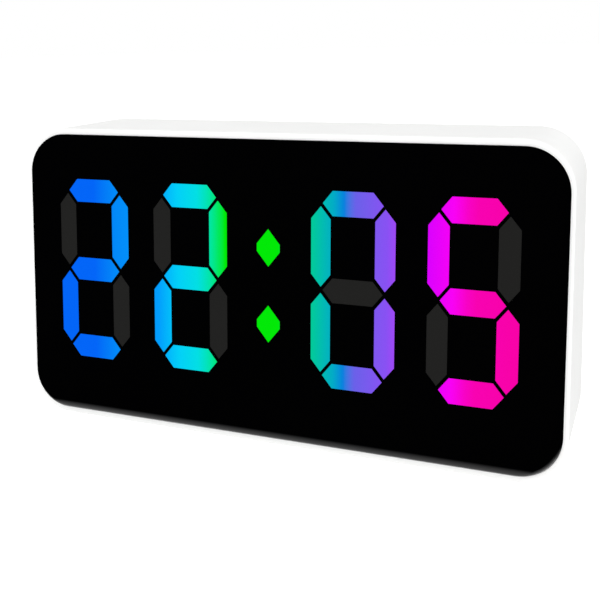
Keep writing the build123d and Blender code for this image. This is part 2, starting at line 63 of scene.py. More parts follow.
# Colours of the lit digits, by their place across the panel in millimetres from its middle
RAINBOW = (
    ("blue", -55, (0, 100, 245)),
    ("azure", -48, (0, 135, 245)),
    ("sky_blue", -34, (0, 155, 250)),
    ("cyan", -27.5, (0, 205, 245)),
    ("turquoise", -21.5, (0, 220, 225)),
    ("mint", -15, (0, 230, 95)),
    ("green", -13, (0, 230, 5)),
    ("bright_green", 3, (0, 230, 5)),
    ("jade", 13, (0, 198, 155)),
    ("teal", 18.5, (0, 170, 195)),
    ("sea_blue", 21.5, (5, 125, 220)),
    ("indigo", 24.5, (105, 95, 230)),
    ("violet", 33, (135, 80, 240)),
    ("orchid", 43.5, (215, 0, 250)),
    ("magenta", 50, (245, 0, 242)),
    ("fuchsia", 53.5, (245, 0, 195)),
    ("cerise", 56, (245, 0, 175)),
    ("rose", 66, (245, 0, 165)),
)

# Moulded plastics inside: finish, colour, roughness, width and height of a grain in mm, gloss, CAD nodes
INNER_PLASTICS = (
    ("well_white", (0.88, 0.88, 0.86), 0.6, 0.3, 0.004, 0.5, ("light_well_frame",)),
    ("led_body", (0.85, 0.83, 0.72), 0.35, 0.15, 0.002, 0.5, ("segment_leds",)),
    ("chip_black", (0.018, 0.018, 0.02), 0.5, 0.12, 0.006, 0.35, ("controller_chip", "display_driver_chip")),
    ("capacitor_sleeve", (0.02, 0.03, 0.12), 0.3, 0.6, 0.004, 0.5, ("smoothing_capacitor",)),
    ("buzzer_black", (0.02, 0.02, 0.02), 0.45, 0.2, 0.005, 0.4, ("alarm_buzzer",)),
    ("connector_cream", (0.74, 0.70, 0.58), 0.45, 0.3, 0.004, 0.5, ("ribbon_connectors",)),
)

# Dome of a screw's head from its middle to its seat, as shares of the head's radius and height
HEAD_SHARES = (
    (0.0, 1.0), (0.3, 0.985), (0.55, 0.94), (0.75, 0.855), (0.89, 0.72), (0.97, 0.52),
    (1.0, 0.28), (1.0, 0.08), (0.96, 0.0),
)

# Zones of a cell, each with its own material
SLEEVE, METAL, RING = range(3)
# The printed band of a cell, and the step to the plain sleeve, in mm along the cell
BAND, BAND_EDGE = 5.5, 0.1
# Nub of a cell: shares of its radius, and of its height
NUB_SHARES = ((0.0, 1.0), (0.8, 1.0), (0.97, 0.86), (1.0, 0.6))
# Nub end of a cell: share of its radius, mm above the shoulder, and zone
SHOULDER = (
    (0.62, 0.0, RING), (0.70, 0.0, RING), (0.72, -0.18, METAL), (0.82, -0.2, METAL), (0.84, 0.0, SLEEVE),
    (0.93, -0.04, SLEEVE), (0.985, -0.2, SLEEVE), (1.0, -0.55, SLEEVE), (1.0, -BAND, SLEEVE),
    (1.0, -BAND - BAND_EDGE, SLEEVE),
)
# Flat end of a cell: share of its radius, mm in from the end, and zone
FLAT_END = (
    (1.0, 0.5, SLEEVE), (0.985, 0.15, SLEEVE), (0.93, 0.0, SLEEVE), (0.86, 0.0, SLEEVE), (0.84, 0.2, METAL),
    (0.55, 0.18, METAL), (0.5, 0.05, METAL), (0.0, 0.03, METAL),
)

# Large round lights: name, width and place in metres, and whether reflections show it
LAMPS = (
    ("key", 1.0, (0.5, -2.0, 0.6), False),
    ("rear", 1.2, (0.7, 1.7, 1.0), True),
    ("top", 1.6, (0.1, 0.1, 1.9), False),
)


def linear(colour):
    """Turns a screen colour, 0 to 255, into the linear values that shaders take."""
    parts = [c / 255 for c in colour]
    return tuple(c / 12.92 if c <= 0.04045 else ((c + 0.055) / 1.055) ** 2.4 for c in parts)


# Settings

def colour_setting(name, description, default):
    return FloatVectorProperty(
        name=name, description=description, default=default, min=0.0, max=1.0, size=3, subtype="COLOR"
    )


def length_setting(name, description, millimetres):
    return FloatProperty(
        name=name, description=description, default=millimetres * MM, min=0.0,
        unit="LENGTH", subtype="DISTANCE", precision=5,
    )


def count_setting(name, description, default, least, most):
    return IntProperty(name=name, description=description, default=default, min=least, max=most)


def amount_setting(name, description, default, **more):
    return FloatProperty(name=name, description=description, default=default, min=0.0, **more)


def angle_setting(name, description, degrees):
    return FloatProperty(name=name, description=description, default=math.radians(degrees), unit="ROTATION")


class DigitColours(PropertyGroup):
    __annotations__ = {
        key: colour_setting(
            key.replace("_", " ").capitalize(), f"Lit segments {place} mm from the middle", linear(hue)
        )
        for key, place, hue in RAINBOW
    }


class ClockFinishes(PropertyGroup):
    case_white: colour_setting("Case", "White plastic of the case", (0.90, 0.902, 0.893))
    cover_white: colour_setting("Cover", "White plastic of the rear cover and the door", (0.88, 0.882, 0.872))
    button_white: colour_setting("Buttons", "White plastic of the buttons", (0.86, 0.86, 0.855))
    panel_black: colour_setting("Front", "Black of the front panel", (0.0004, 0.0004, 0.0005))
    unlit: colour_setting("Unlit segments", "Grey of the segments that are off", (0.0107, 0.0106, 0.0100))
    foot_black: colour_setting("Feet", "Rubber of the feet", (0.03, 0.03, 0.031))
    ink: colour_setting("Button marks", "Ink of the marks on the buttons", (0.11, 0.112, 0.115))
    sleeve: colour_setting("Cell sleeve", "Plain sleeve of the cells", (0.035, 0.13, 0.085))
    grain_size: length_setting("Grain size", "Width of a grain of the moulded surface", 0.35)
    grain_depth: length_setting("Grain depth", "Height of the moulded grain", 0.006)
    digit_light: amount_setting("Digit light", "Brightness of the lit segments", 1.0, soft_max=5.0)


class ClockFittings(PropertyGroup):
    mark_width: length_setting("Mark width", "Width of the mark on a button", 3.2)
    mark_thickness: length_setting("Mark thickness", "Thickness of the ink of a mark", 0.08)
    screw_head_radius: length_setting("Screw head radius", "Radius of a case screw's head", 2.1)
    screw_head_height: length_setting("Screw head height", "Height of a case screw's head", 1.3)
    screw_radius: length_setting("Screw radius", "Outer radius of the thread", 1.1)
    screw_length: length_setting("Screw length", "Length below the head", 8.0)
    thread_pitch: length_setting("Thread pitch", "Distance from one turn of the thread to the next", 0.55)
    recess_reach: length_setting("Recess reach", "Length of each arm of the cross recess", 1.15)
    recess_depth: length_setting("Recess depth", "Depth of the cross recess", 0.85)
    cell_radius: length_setting("Cell radius", "Radius of a cell", 5.2)
    cell_length: length_setting("Cell length", "Length of a cell without its nub", 43.5)
    cell_nub_height: length_setting("Nub height", "Height of the nub", 0.9)
    cell_nub_radius: length_setting("Nub radius", "Radius of the nub", 1.9)
    cell_count: count_setting("Cells", "Number of cells side by side", 3, 1, 8)
    rib_count: count_setting("Grip ribs", "Ribs in the grip of the battery door", 7, 2, 12)
    rib_pitch: length_setting("Rib pitch", "Distance from one grip rib to the next", 1.6)
    rib_length: length_setting("Rib length", "Length of a grip rib", 3.1)
    rib_width: length_setting("Rib width", "Width of a grip rib", 0.6)
    grip_depth: length_setting("Grip depth", "Depth of the grip in the battery door", 0.9)
    grip_inset: length_setting("Grip inset", "Middle of the grip below the top of the battery door", 5.0)
    pad_count: count_setting("Contact pads", "Pads on each side of the socket's tongue", 6, 1, 12)
    pad_pitch: length_setting("Pad pitch", "Distance from one contact pad to the next", 0.95)
    pad_length: length_setting("Pad length", "Length of a contact pad", 3.4)
    pad_width: length_setting("Pad width", "Width of a contact pad", 0.42)
    pad_thickness: length_setting("Pad thickness", "Thickness of a contact pad", 0.1)
    pad_inset: length_setting("Pad inset", "Distance of the pads from the mouth of the socket", 1.3)
    pad_height: length_setting("Pad height", "Height of the pads above the middle of the tongue", 0.35)


class ClockStage(PropertyGroup):
    floor_white: colour_setting("Floor", "Pale surface that the clock stands on", (0.5, 0.5, 0.5))
    floor_glow: amount_setting("Floor glow", "Light that the floor gives from below", 0.72)
    rear_floor_glow: amount_setting("Rear floor glow", "Light that the floor behind the clock gives", 0.3)
    floor_clearness: amount_setting("Floor clearness", "How far the floor itself is lifted to white", 0.9)
    sky: amount_setting("Room light", "Light from the room in front of the clock", 1.07)
    rear_dimness: amount_setting("Rear dimness", "How much less light comes from behind", 0.32, max=1.0)
    front_gleam: amount_setting("Front gleam", "How brightly the room in front is reflected", 0.12, max=1.0)
    rear_gleam: amount_setting("Rear gleam", "How brightly the room behind is reflected", 1.12, max=2.0)
    key_power: amount_setting("Key light", "Large light in front", 8.0, unit="POWER")
    rear_power: amount_setting("Rear light", "Large light behind", 3.0, unit="POWER")
    top_power: amount_setting("Top light", "Large light overhead", 0.5, unit="POWER")
    lens: FloatProperty(name="Lens", description="Focal length in millimetres", default=58.8, min=10.0)
    shift: FloatProperty(
        name="Vertical shift", description="Lens shift that frames the clock", default=-0.16667,
    )
    place: FloatVectorProperty(
        name="Camera place", description="Where the camera stands",
        default=(0.108736, -0.245215, 0.113499), size=3, unit="LENGTH",
    )
    heading: angle_setting("Heading", "Turn of the camera to the left", 23.4355)
    tilt: angle_setting("Tilt", "How far the camera looks down", 10.1837)
    roll: angle_setting("Roll", "Turn of the camera about its own line of sight", -1.4366)


class ClockSettings(PropertyGroup):
    digits: PointerProperty(type=DigitColours)
    finishes: PointerProperty(type=ClockFinishes)
    fittings: PointerProperty(type=ClockFittings)
    stage: PointerProperty(type=ClockStage)


# Node trees

def add(tree, kind, inputs=None, **settings):
    """Adds a node, sets it up, and links or fills the inputs given by name or number."""
    made = tree.nodes.new(kind)
    for key, value in settings.items():
        setattr(made, key, value)
    for key, value in (inputs or {}).items():
        if isinstance(value, bpy.types.NodeSocket):
            tree.links.new(value, made.inputs[key])
        else:
            made.inputs[key].default_value = value
    return made


def sums(tree, operation, first, second=0.0, clamp=False):
    """Works out one sum of two values."""
    return add(tree, "ShaderNodeMath", {0: first, 1: second}, operation=operation, use_clamp=clamp).outputs[0]


def axes(tree, vector):
    """The three parts of a vector: to the right, away from the front, and up."""
    return add(tree, "ShaderNodeSeparateXYZ", {0: vector}).outputs[:3]


def blend_colours(tree, factor, first, second):
    """Mixes two colours, each given as values or as a socket."""
    made = add(tree, "ShaderNodeMix", {0: factor}, data_type="RGBA")
    for number, value in ((6, first), (7, second)):
        if isinstance(value, bpy.types.NodeSocket):
            tree.links.new(value, made.inputs[number])
        else:
            made.inputs[number].default_value = (*value[:3], 1.0)
    return made.outputs[2]


def spread(tree, value, low, high, to_low, to_high):
    """Maps a value from one range to another, smoothly, and holds it at the ends."""
    ends = {0: value, 1: low, 2: high, 3: to_low, 4: to_high}
    return add(tree, "ShaderNodeMapRange", ends, interpolation_type="SMOOTHSTEP").outputs[0]


def noise(tree, place, scale, detail, **more):
    """Soft noise, from 0 to 1, with about so many patches to a metre."""
    values = {"Vector": place, "Scale": scale, "Detail": detail, **more}
    return add(tree, "ShaderNodeTexNoise", values).outputs[0]


def start_effect(name, amounts, results):
    """Starts a shader group of a position and the amounts named, and returns its tree and its ends."""
    tree = bpy.data.node_groups.new(name, "ShaderNodeTree")
    tree.interface.new_socket(name="Position", in_out="INPUT", socket_type="NodeSocketVector")
    for label, value in amounts.items():
        socket = tree.interface.new_socket(name=label, in_out="INPUT", socket_type="NodeSocketFloat")
        socket.default_value = value
    for label in results:
        tree.interface.new_socket(name=label, in_out="OUTPUT", socket_type="NodeSocketFloat")
    return tree, tree.nodes.new("NodeGroupInput").outputs, tree.nodes.new("NodeGroupOutput").inputs


def moulded_grain():
    """Fine grain of a moulded surface, as a height, and the pits in it."""
    if "moulded grain" in bpy.data.node_groups:
        return bpy.data.node_groups["moulded grain"]
    tree, given, result = start_effect(
        "moulded grain", {"Grains per metre": 2800.0, "Coarseness": 0.5}, ("Height", "Pits")
    )
    place, grains, coarseness = given[:3]
    fine = noise(tree, place, grains, 2.0, Roughness=0.6)
    wide = noise(tree, place, sums(tree, "MULTIPLY", grains, 0.23), 1.0)
    rough = sums(tree, "MULTIPLY", wide, coarseness)
    tree.links.new(sums(tree, "ADD", fine, rough), result[0])
    cells = add(tree, "ShaderNodeTexVoronoi", {"Vector": place, "Scale": grains}, feature="SMOOTH_F1")
    tree.links.new(spread(tree, cells.outputs[0], 0.1, 0.5, 1.0, 0.0), result[1])
    return tree


def tone_drift():
    """Slow change of tone over a surface, and fainter marks of handling."""
    if "tone drift" in bpy.data.node_groups:
        return bpy.data.node_groups["tone drift"]
    tree, given, result = start_effect(
        "tone drift", {"Patches per metre": 22.0, "Amount": 1.0}, ("Drift", "Handling")
    )
    place, patches, amount = given[:3]
    drift = spread(tree, noise(tree, place, patches, 2.0), 0.3, 0.7, 0.0, 1.0)
    tree.links.new(sums(tree, "MULTIPLY", drift, amount), result[0])
    marks = noise(tree, place, sums(tree, "MULTIPLY", patches, 5.0), 4.0, Distortion=0.8)
    tree.links.new(spread(tree, marks, 0.52, 0.72, 0.0, 1.0), result[1])
    return tree


def settled_dust():
    """Dust that lies on what faces up."""
    if "settled dust" in bpy.data.node_groups:
        return bpy.data.node_groups["settled dust"]
    tree, given, result = start_effect("settled dust", {"Specks per metre": 900.0, "Amount": 0.2}, ("Dust",))
    place, specks, amount = given[:3]
    upward = axes(tree, add(tree, "ShaderNodeNewGeometry").outputs["Normal"])[2]
    lying = spread(tree, upward, 0.5, 0.95, 0.0, 1.0)
    kept = spread(tree, noise(tree, place, specks, 3.0), 0.55, 0.7, 0.0, 1.0)
    tree.links.new(sums(tree, "MULTIPLY", sums(tree, "MULTIPLY", lying, kept), amount), result[0])
    return tree


class Finish:
    """A material under way, with its node tree, its shader and its object coordinates."""

    def __init__(self, name, **constants):
        self.material = bpy.data.materials.new(name)
        self.material.use_nodes = True
        self.tree = self.material.node_tree
        self.shader = self.tree.nodes["Principled BSDF"]
        self.place = self.tree.nodes.new("ShaderNodeTexCoord").outputs["Object"]
        for key, value in constants.items():
            self.shader.inputs[key.replace("_", " ")].default_value = value

    def feed(self, **sockets):
        """Links sockets to the shader's inputs named."""
        for key, value in sockets.items():
            self.tree.links.new(value, self.shader.inputs[key.replace("_", " ")])

    def effect(self, group, *values):
        """Places a shared effect, with its values after the position."""
        made = add(self.tree, "ShaderNodeGroup", node_tree=group)
        self.tree.links.new(self.place, made.inputs[0])
        for number, value in enumerate(values, 1):
            made.inputs[number].default_value = value
        return made.outputs

    def bump(self, height, distance):
        """Makes the surface look raised by a height times a distance in metres."""
        made = add(self.tree, "ShaderNodeBump", {"Height": height, "Distance": distance, "Strength": 1.0})
        self.feed(Normal=made.outputs[0])


def shade(colour, factor):
    """A lighter or darker shade of a colour."""
    return tuple(min(1.0, c * factor) for c in colour[:3])


def moulded_plastic(
    name, colour, roughness, grain=0.35 * MM, depth=0.006 * MM, drift=0.02, dust=0.1, level=0.5, softness=0.0
):
    """Moulded plastic: fine grain with painted shade in its pits, a faint drift of tone, handled patches and
    a little dust.
    """
    # Light goes as far into soft plastic in every colour, which keeps white plastic white
    made = Finish(
        name, Specular_IOR_Level=level, IOR=1.5,
        Subsurface_Weight=softness, Subsurface_Scale=0.5 * MM, Subsurface_Radius=(1.0, 1.0, 1.0),
    )
    tree = made.tree
    height, pits = made.effect(moulded_grain(), 1 / grain, 0.5)[:2]
    tone, handled = made.effect(tone_drift(), 22.0, 1.0)[:2]
    dusty = made.effect(settled_dust(), 1300.0, dust)[0]
    plain = blend_colours(tree, tone, shade(colour, 1 - drift), shade(colour, 1 + drift / 2))
    # Painted shade: the pits of the grain are a shade darker
    pit_shaded = blend_colours(tree, sums(tree, "MULTIPLY", pits, 0.12), plain, shade(colour, 0.93))
    made.feed(Base_Color=blend_colours(tree, dusty, pit_shaded, DUST))
    smooth = spread(tree, handled, 0.0, 1.0, roughness + 0.03, roughness - 0.05)
    made.feed(Roughness=sums(tree, "ADD", smooth, sums(tree, "MULTIPLY", dusty, 0.3), clamp=True))
    made.bump(height, depth)
    return made.material


def plated_metal(name, colour, roughness):
    """Plated or tinned metal with short fine scratches."""
    made = Finish(name, Metallic=1.0)
    tree = made.tree
    stretched = add(tree, "ShaderNodeMapping", {"Vector": made.place, "Scale": (1.0, 0.12, 1.0)}).outputs[0]
    scratches = noise(tree, stretched, 1400.0, 3.0)
    tone, handled = made.effect(tone_drift(), 120.0, 1.0)[:2]
    made.feed(Base_Color=blend_colours(tree, tone, shade(colour, 0.9), colour))
    worn = sums(tree, "ADD", scratches, sums(tree, "MULTIPLY", handled, 0.3))
    made.feed(Roughness=spread(tree, worn, 0.3, 1.0, roughness - 0.08, roughness + 0.1))
    made.bump(scratches, 0.002 * MM)
    return made.material


def front_black(black):
    """Black face that gives back almost nothing, polished where its lower edge rounds under."""
    made = Finish("panel_black", Specular_IOR_Level=0.0, Coat_Roughness=0.07, Coat_IOR=1.5)
    tree = made.tree
    upward = axes(tree, add(tree, "ShaderNodeNewGeometry").outputs["Normal"])[2]
    under = spread(tree, sums(tree, "MULTIPLY", upward, -1.0), 0.12, 0.50, 0.0, 1.0)
    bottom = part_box("front_panel")[0].z
    polished_to, plain_from = bottom + 1.4 * MM, bottom + 2.7 * MM
    lowest = spread(tree, axes(tree, made.place)[2], polished_to, plain_from, 1.0, 0.0)
    made.feed(Coat_Weight=sums(tree, "MAXIMUM", under, lowest))
    tone, handled = made.effect(tone_drift(), 30.0, 1.0)[:2]
    made.feed(Base_Color=blend_colours(tree, tone, shade(black, 0.8), black))
    made.feed(Roughness=spread(tree, handled, 0.0, 1.0, 0.34, 0.42))
    made.bump(made.effect(moulded_grain(), 4000.0, 0.5)[0], 0.0006 * MM)
    return made.material


def lit_diffuser(settings):
    """Lit diffuser: its colour runs through the rainbow across the clock."""
    light = settings.finishes.digit_light
    made = Finish("diffuser_lit", Specular_IOR_Level=0.01, Roughness=0.6, Emission_Strength=light)
    tree = made.tree
    first, last = RAINBOW[0][1] * MM, RAINBOW[-1][1] * MM
    span = {0: axes(tree, made.place)[0], 1: first, 2: last, 3: 0.0, 4: 1.0}
    ramp = add(tree, "ShaderNodeValToRGB", {0: add(tree, "ShaderNodeMapRange", span).outputs[0]})
    stops = ramp.color_ramp.elements
    while len(stops) > 1:
        stops.remove(stops[-1])
    for number, (key, place, _) in enumerate(RAINBOW):
        position = (place * MM - first) / (last - first)
        stop = stops[0] if number == 0 else stops.new(position)
        stop.position = position
        stop.color = (*getattr(settings.digits, key), 1.0)
    height, pits = made.effect(moulded_grain(), 5000.0, 0.4)[:2]
    made.feed(Emission_Color=blend_colours(tree, sums(tree, "MULTIPLY", pits, 0.05), ramp.outputs[0], BLACK))
    made.feed(Base_Color=blend_colours(tree, 0.97, ramp.outputs[0], BLACK))
    made.bump(height, 0.001 * MM)
    return made.material


def solder_resist():
    """Green board with tracks showing through the lacquer, and small tinned pads."""
    made = Finish("board_green", Specular_IOR_Level=0.5, Coat_Roughness=0.12)
    tree = made.tree
    x, _, z = axes(tree, made.place)
    flat = add(tree, "ShaderNodeCombineXYZ", {0: x, 1: z, 2: 0.0}).outputs[0]

    def stripes(place):
        """Tracks side by side along one axis, with half their pitch and half their width in mm."""
        half_pitch, half_width = 0.6, 0.16
        wave = sums(tree, "PINGPONG", sums(tree, "MULTIPLY", place, 1 / MM), half_pitch)
        return sums(tree, "LESS_THAN", wave, half_width)

    patches = add(tree, "ShaderNodeTexVoronoi", {"Vector": flat, "Scale": 130.0}, distance="CHEBYCHEV")
    choice = add(tree, "ShaderNodeSeparateColor", {0: patches.outputs["Color"]}).outputs
    upright = sums(tree, "GREATER_THAN", choice[0], 0.5)
    level = sums(tree, "SUBTRACT", 1.0, upright)
    upright_tracks = sums(tree, "MULTIPLY", stripes(x), upright)
    chosen = sums(tree, "ADD", upright_tracks, sums(tree, "MULTIPLY", stripes(z), level), clamp=True)
    tracks = sums(tree, "MULTIPLY", chosen, sums(tree, "GREATER_THAN", choice[1], 0.35))

    dots = add(tree, "ShaderNodeTexVoronoi", {"Vector": flat, "Scale": 260.0, "Randomness": 0.25})
    chance = add(tree, "ShaderNodeSeparateColor", {0: dots.outputs["Color"]}).outputs[2]
    inside = sums(tree, "LESS_THAN", dots.outputs["Distance"], 0.16)
    pad = sums(tree, "MULTIPLY", inside, sums(tree, "GREATER_THAN", chance, 0.6))

    tone = made.effect(tone_drift(), 60.0, 1.0)[0]
    lacquer = blend_colours(tree, tone, (0.012, 0.10, 0.045), (0.016, 0.125, 0.055))
    green = blend_colours(tree, tracks, lacquer, (0.03, 0.20, 0.085))
    made.feed(Base_Color=blend_colours(tree, pad, green, TINNED))
    made.feed(Roughness=spread(tree, pad, 0.0, 1.0, 0.35, 0.22), Metallic=pad)
    made.bump(sums(tree, "ADD", tracks, pad), 0.03 * MM)
    return made.material


def ribbed_ribbon():
    """Flat ribbon with a ridge over each conductor, with painted shade in the grooves and painted highlight
    on the crests.
    """
    made = Finish("ribbon_grey", Specular_IOR_Level=0.4)
    tree = made.tree
    half_pitch = 0.635
    across = sums(tree, "MULTIPLY", axes(tree, made.place)[0], 1 / MM)
    ridge = spread(tree, sums(tree, "PINGPONG", across, half_pitch), 0.0, half_pitch, 0.0, 1.0)
    tone, handled = made.effect(tone_drift(), 80.0, 1.0)[:2]
    # Painted shade and highlight: the grey is darker in the grooves between the ridges and lighter on their
    # crests
    groove_shaded = blend_colours(tree, ridge, (0.26, 0.265, 0.28), (0.44, 0.45, 0.47))
    made.feed(Base_Color=blend_colours(tree, tone, groove_shaded, (0.42, 0.43, 0.45)))
    made.feed(Roughness=spread(tree, handled, 0.0, 1.0, 0.45, 0.36))
    made.bump(ridge, 0.2 * MM)
    return made.material


def banded_sleeve(colour):
    """Sleeve of a cell: satin film with a paler band near the nub end."""
    made = Finish("cell_sleeve", Specular_IOR_Level=0.5, Coat_Roughness=0.1, Coat_Weight=0.4)
    tree = made.tree
    band = add(tree, "ShaderNodeAttribute", attribute_name="band").outputs["Fac"]
    tone, handled = made.effect(tone_drift(), 70.0, 1.0)[:2]
    film = blend_colours(tree, tone, shade(colour, 0.85), shade(colour, 1.1))
    made.feed(Base_Color=blend_colours(tree, band, film, (0.62, 0.46, 0.20)))
    made.feed(Roughness=spread(tree, handled, 0.0, 1.0, 0.30, 0.22))
    made.bump(made.effect(moulded_grain(), 900.0, 0.6)[0], 0.004 * MM)
    return made.material


def dress(material, *names):
    """Puts a finish on every material slot of the CAD nodes named."""
    for name in names:
        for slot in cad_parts[name].material_slots:
            slot.material = material


# Pieces

def show(name, mesh):
    """Puts a mesh in the scene as an object."""
    piece = bpy.data.objects.new(name, mesh)
    bpy.context.scene.collection.objects.link(piece)
    return piece


def set_down(name, draft):
    """Turns a draft of a mesh into the mesh itself."""
    made = bpy.data.meshes.new(name)
    draft.to_mesh(made)
    draft.free()
    return made


def work_out(piece, *helpers):
    """Returns the mesh that a piece's modifiers make, and removes the piece and its helpers."""
    depsgraph = bpy.context.evaluated_depsgraph_get()
    made = bpy.data.meshes.new_from_object(piece.evaluated_get(depsgraph), depsgraph=depsgraph)
    for item in (piece, *helpers):
        bpy.data.objects.remove(item)
    return made


def turned(name, profile, sides, zones=None):
    """Turns (radius, height) points about Z, closed at both poles, and marks the zone of each face."""
    mesh = bmesh.new()
    zone = mesh.faces.layers.int.new("zone")
    angles = [2 * math.pi * i / sides for i in range(sides)]
    around = [(math.cos(a), math.sin(a)) for a in angles]
    rings = []
    for radius, height in profile:
        if radius == 0:
            rings.append([mesh.verts.new((0, 0, height))] * sides)
        else:
            rings.append([mesh.verts.new((radius * x, radius * y, height)) for x, y in around])
    for number, (upper, lower) in enumerate(zip(rings, rings[1:])):
        for i in range(sides):
            j = (i + 1) % sides
            corners = dict.fromkeys((upper[i], lower[i], lower[j], upper[j]))
            face = mesh.faces.new(list(corners))
            face.smooth = True
            face[zone] = zones[number] if zones else 0
    bmesh.ops.recalc_face_normals(mesh, faces=mesh.faces)
    return set_down(name, mesh)


def cross_cutter(reach, depth, top):
    """A tapered cross that points down from the height given."""
    mesh = bmesh.new()
    overrun = 0.3 * MM
    # Height, and the half length and half width of an arm as shares of its reach
    ends = ((top + overrun, 1.12, 0.25), (top - depth, 0.42, 0.16))
    for turn in (0, math.pi / 2):
        spin = Matrix.Rotation(turn, 3, "Z")
        corners = []
        for height, long, wide in ends:
            for sx, sy in ((-1, -1), (1, -1), (1, 1), (-1, 1)):
                corners.append(mesh.verts.new(spin @ Vector((sx * reach * long, sy * reach * wide, height))))
        for face in ((3, 2, 1, 0), (4, 5, 6, 7), (0, 1, 5, 4), (1, 2, 6, 5), (2, 3, 7, 6), (3, 0, 4, 7)):
            mesh.faces.new([corners[i] for i in face])
    bmesh.ops.recalc_face_normals(mesh, faces=mesh.faces)
    return set_down("cross", mesh)


def cut_away(body, cutter):
    """Cuts one mesh out of another and returns what is left."""
    kept, taken = show("kept", body), show("taken", cutter)
    cut = kept.modifiers.new("cut", "BOOLEAN")
    cut.operation, cut.solver, cut.object, cut.use_self = "DIFFERENCE", "EXACT", taken, True
    return work_out(kept, taken)


def rounded_bar(name, width, depth, length, rounding):
    """A bar along Z with rounded edges, its middle at the origin."""
    mesh = bmesh.new()
    bmesh.ops.create_cube(mesh, size=1.0)
    bmesh.ops.scale(mesh, vec=(width, depth, length), verts=mesh.verts)
    bmesh.ops.bevel(mesh, geom=mesh.edges[:], offset=rounding, segments=3, profile=0.5, affect="EDGES")
    for face in mesh.faces:
        face.smooth = True
    return set_down(name, mesh)


def arc(radius, start, end, steps, rise=0.0):
    """Points from one angle in degrees to another on an arc, its centre raised from a mark's middle."""
    angles = [math.radians(start + (end - start) * i / steps) for i in range(steps + 1)]
    return [(radius * math.cos(a), radius * math.sin(a) + rise) for a in angles]


def mark_outlines(key):
    """The plain outlines of a button's mark, across and up, for a mark about three units wide."""
    if key == "up":
        return [[(0.0, 1.3), (-1.5, -1.1), (1.5, -1.1)]]
    if key == "down":
        return [[(0.0, -1.3), (1.5, 1.1), (-1.5, 1.1)]]
    if key == "mode":
        bar = ((-1.4, -0.24), (1.4, -0.24), (1.4, 0.24), (-1.4, 0.24))
        return [[(x, rise + z) for x, z in bar] for rise in (-0.95, 0.0, 0.95)]
    if key == "set":
        outer, inner = arc(1.45, 0, 360, 36), arc(0.95, 0, 360, 36)
        return [[outer[i], outer[i + 1], inner[i + 1], inner[i]] for i in range(36)]
    dome = arc(0.95, 0, 180, 16, 0.35)
    bell = [(-1.45, -0.95), (1.45, -0.95), (1.45, -0.75), (1.0, -0.35), *dome, (-1.0, -0.35), (-1.45, -0.75)]
    return [bell, arc(0.42, 180, 360, 10, -1.15)]


def printed_mark(name, outlines, middle, scale, depth, thickness):
    """A thin layer of ink in the outlines given, sunk a little into the face that it lies on."""
    mesh = bmesh.new()
    for outline in outlines:
        corners = [mesh.verts.new((middle.x + x * scale, depth, middle.z + z * scale)) for x, z in outline]
        mesh.faces.new(corners)
    bmesh.ops.remove_doubles(mesh, verts=mesh.verts, dist=0.001 * MM)
    grown = bmesh.ops.extrude_face_region(mesh, geom=mesh.faces[:])["geom"]
    raised = [part for part in grown if isinstance(part, bmesh.types.BMVert)]
    bmesh.ops.translate(mesh, vec=(0.0, thickness, 0.0), verts=raised)
    bmesh.ops.recalc_face_normals(mesh, faces=mesh.faces)
    return show(name, set_down(name, mesh))


def start_layout(name, inputs):
    """Starts a geometry tree with a geometry input and the inputs named, given by name and kind."""
    tree = bpy.data.node_groups.new(name, "GeometryNodeTree")
    tree.is_modifier = True
    for label, kind in {"Geometry": "Geometry", **inputs}.items():
        tree.interface.new_socket(name=label, in_out="INPUT", socket_type="NodeSocket" + kind)
    tree.interface.new_socket(name="Geometry", in_out="OUTPUT", socket_type="NodeSocketGeometry")
    given = tree.nodes.new("NodeGroupInput").outputs
    return tree, {socket.name: socket for socket in given if socket.name}, tree.nodes.new("NodeGroupOutput")


def lay_out(name, mesh, tree, values):
    """Runs a geometry tree on a mesh and returns a piece with the result as a plain mesh."""
    source = show(name + "_source", mesh)
    grower = source.modifiers.new("layout", "NODES")
    grower.node_group = tree
    identifiers = {item.name: item.identifier for item in tree.interface.items_tree if item.in_out == "INPUT"}
    for label, value in values.items():
        grower[identifiers[label]] = value
    made = work_out(source)
    made.name = name
    return show(name, made)


def screw_layout():
    """Screws at the four corners of an upright field, each turned by chance about its own axis."""
    tree, given, result = start_layout(
        "case screws",
        {"Width": "Float", "Height": "Float", "Middle": "Vector", "Seed": "Int", "Material": "Material"},
    )
    field = add(
        tree, "GeometryNodeMeshGrid",
        {"Size X": given["Width"], "Size Y": given["Height"], "Vertices X": 2, "Vertices Y": 2},
    )
    chance = add(
        tree, "FunctionNodeRandomValue",
        {0: (0.0, 0.0, 0.0), 1: (0.0, 0.0, math.pi / 2), "Seed": given["Seed"]}, data_type="FLOAT_VECTOR",
    )
    placed = add(
        tree, "GeometryNodeInstanceOnPoints",
        {"Points": field.outputs[0], "Instance": given["Geometry"], "Rotation": chance.outputs[0]},
    )
    stood = add(
        tree, "GeometryNodeTransform",
        {"Geometry": placed.outputs[0], "Translation": given["Middle"], "Rotation": (-math.pi / 2, 0.0, 0.0)},
    )
    real = add(tree, "GeometryNodeRealizeInstances", {0: stood.outputs[0]})
    paint = {"Geometry": real.outputs[0], "Material": given["Material"]}
    tree.links.new(add(tree, "GeometryNodeSetMaterial", paint).outputs[0], result.inputs[0])
    return tree


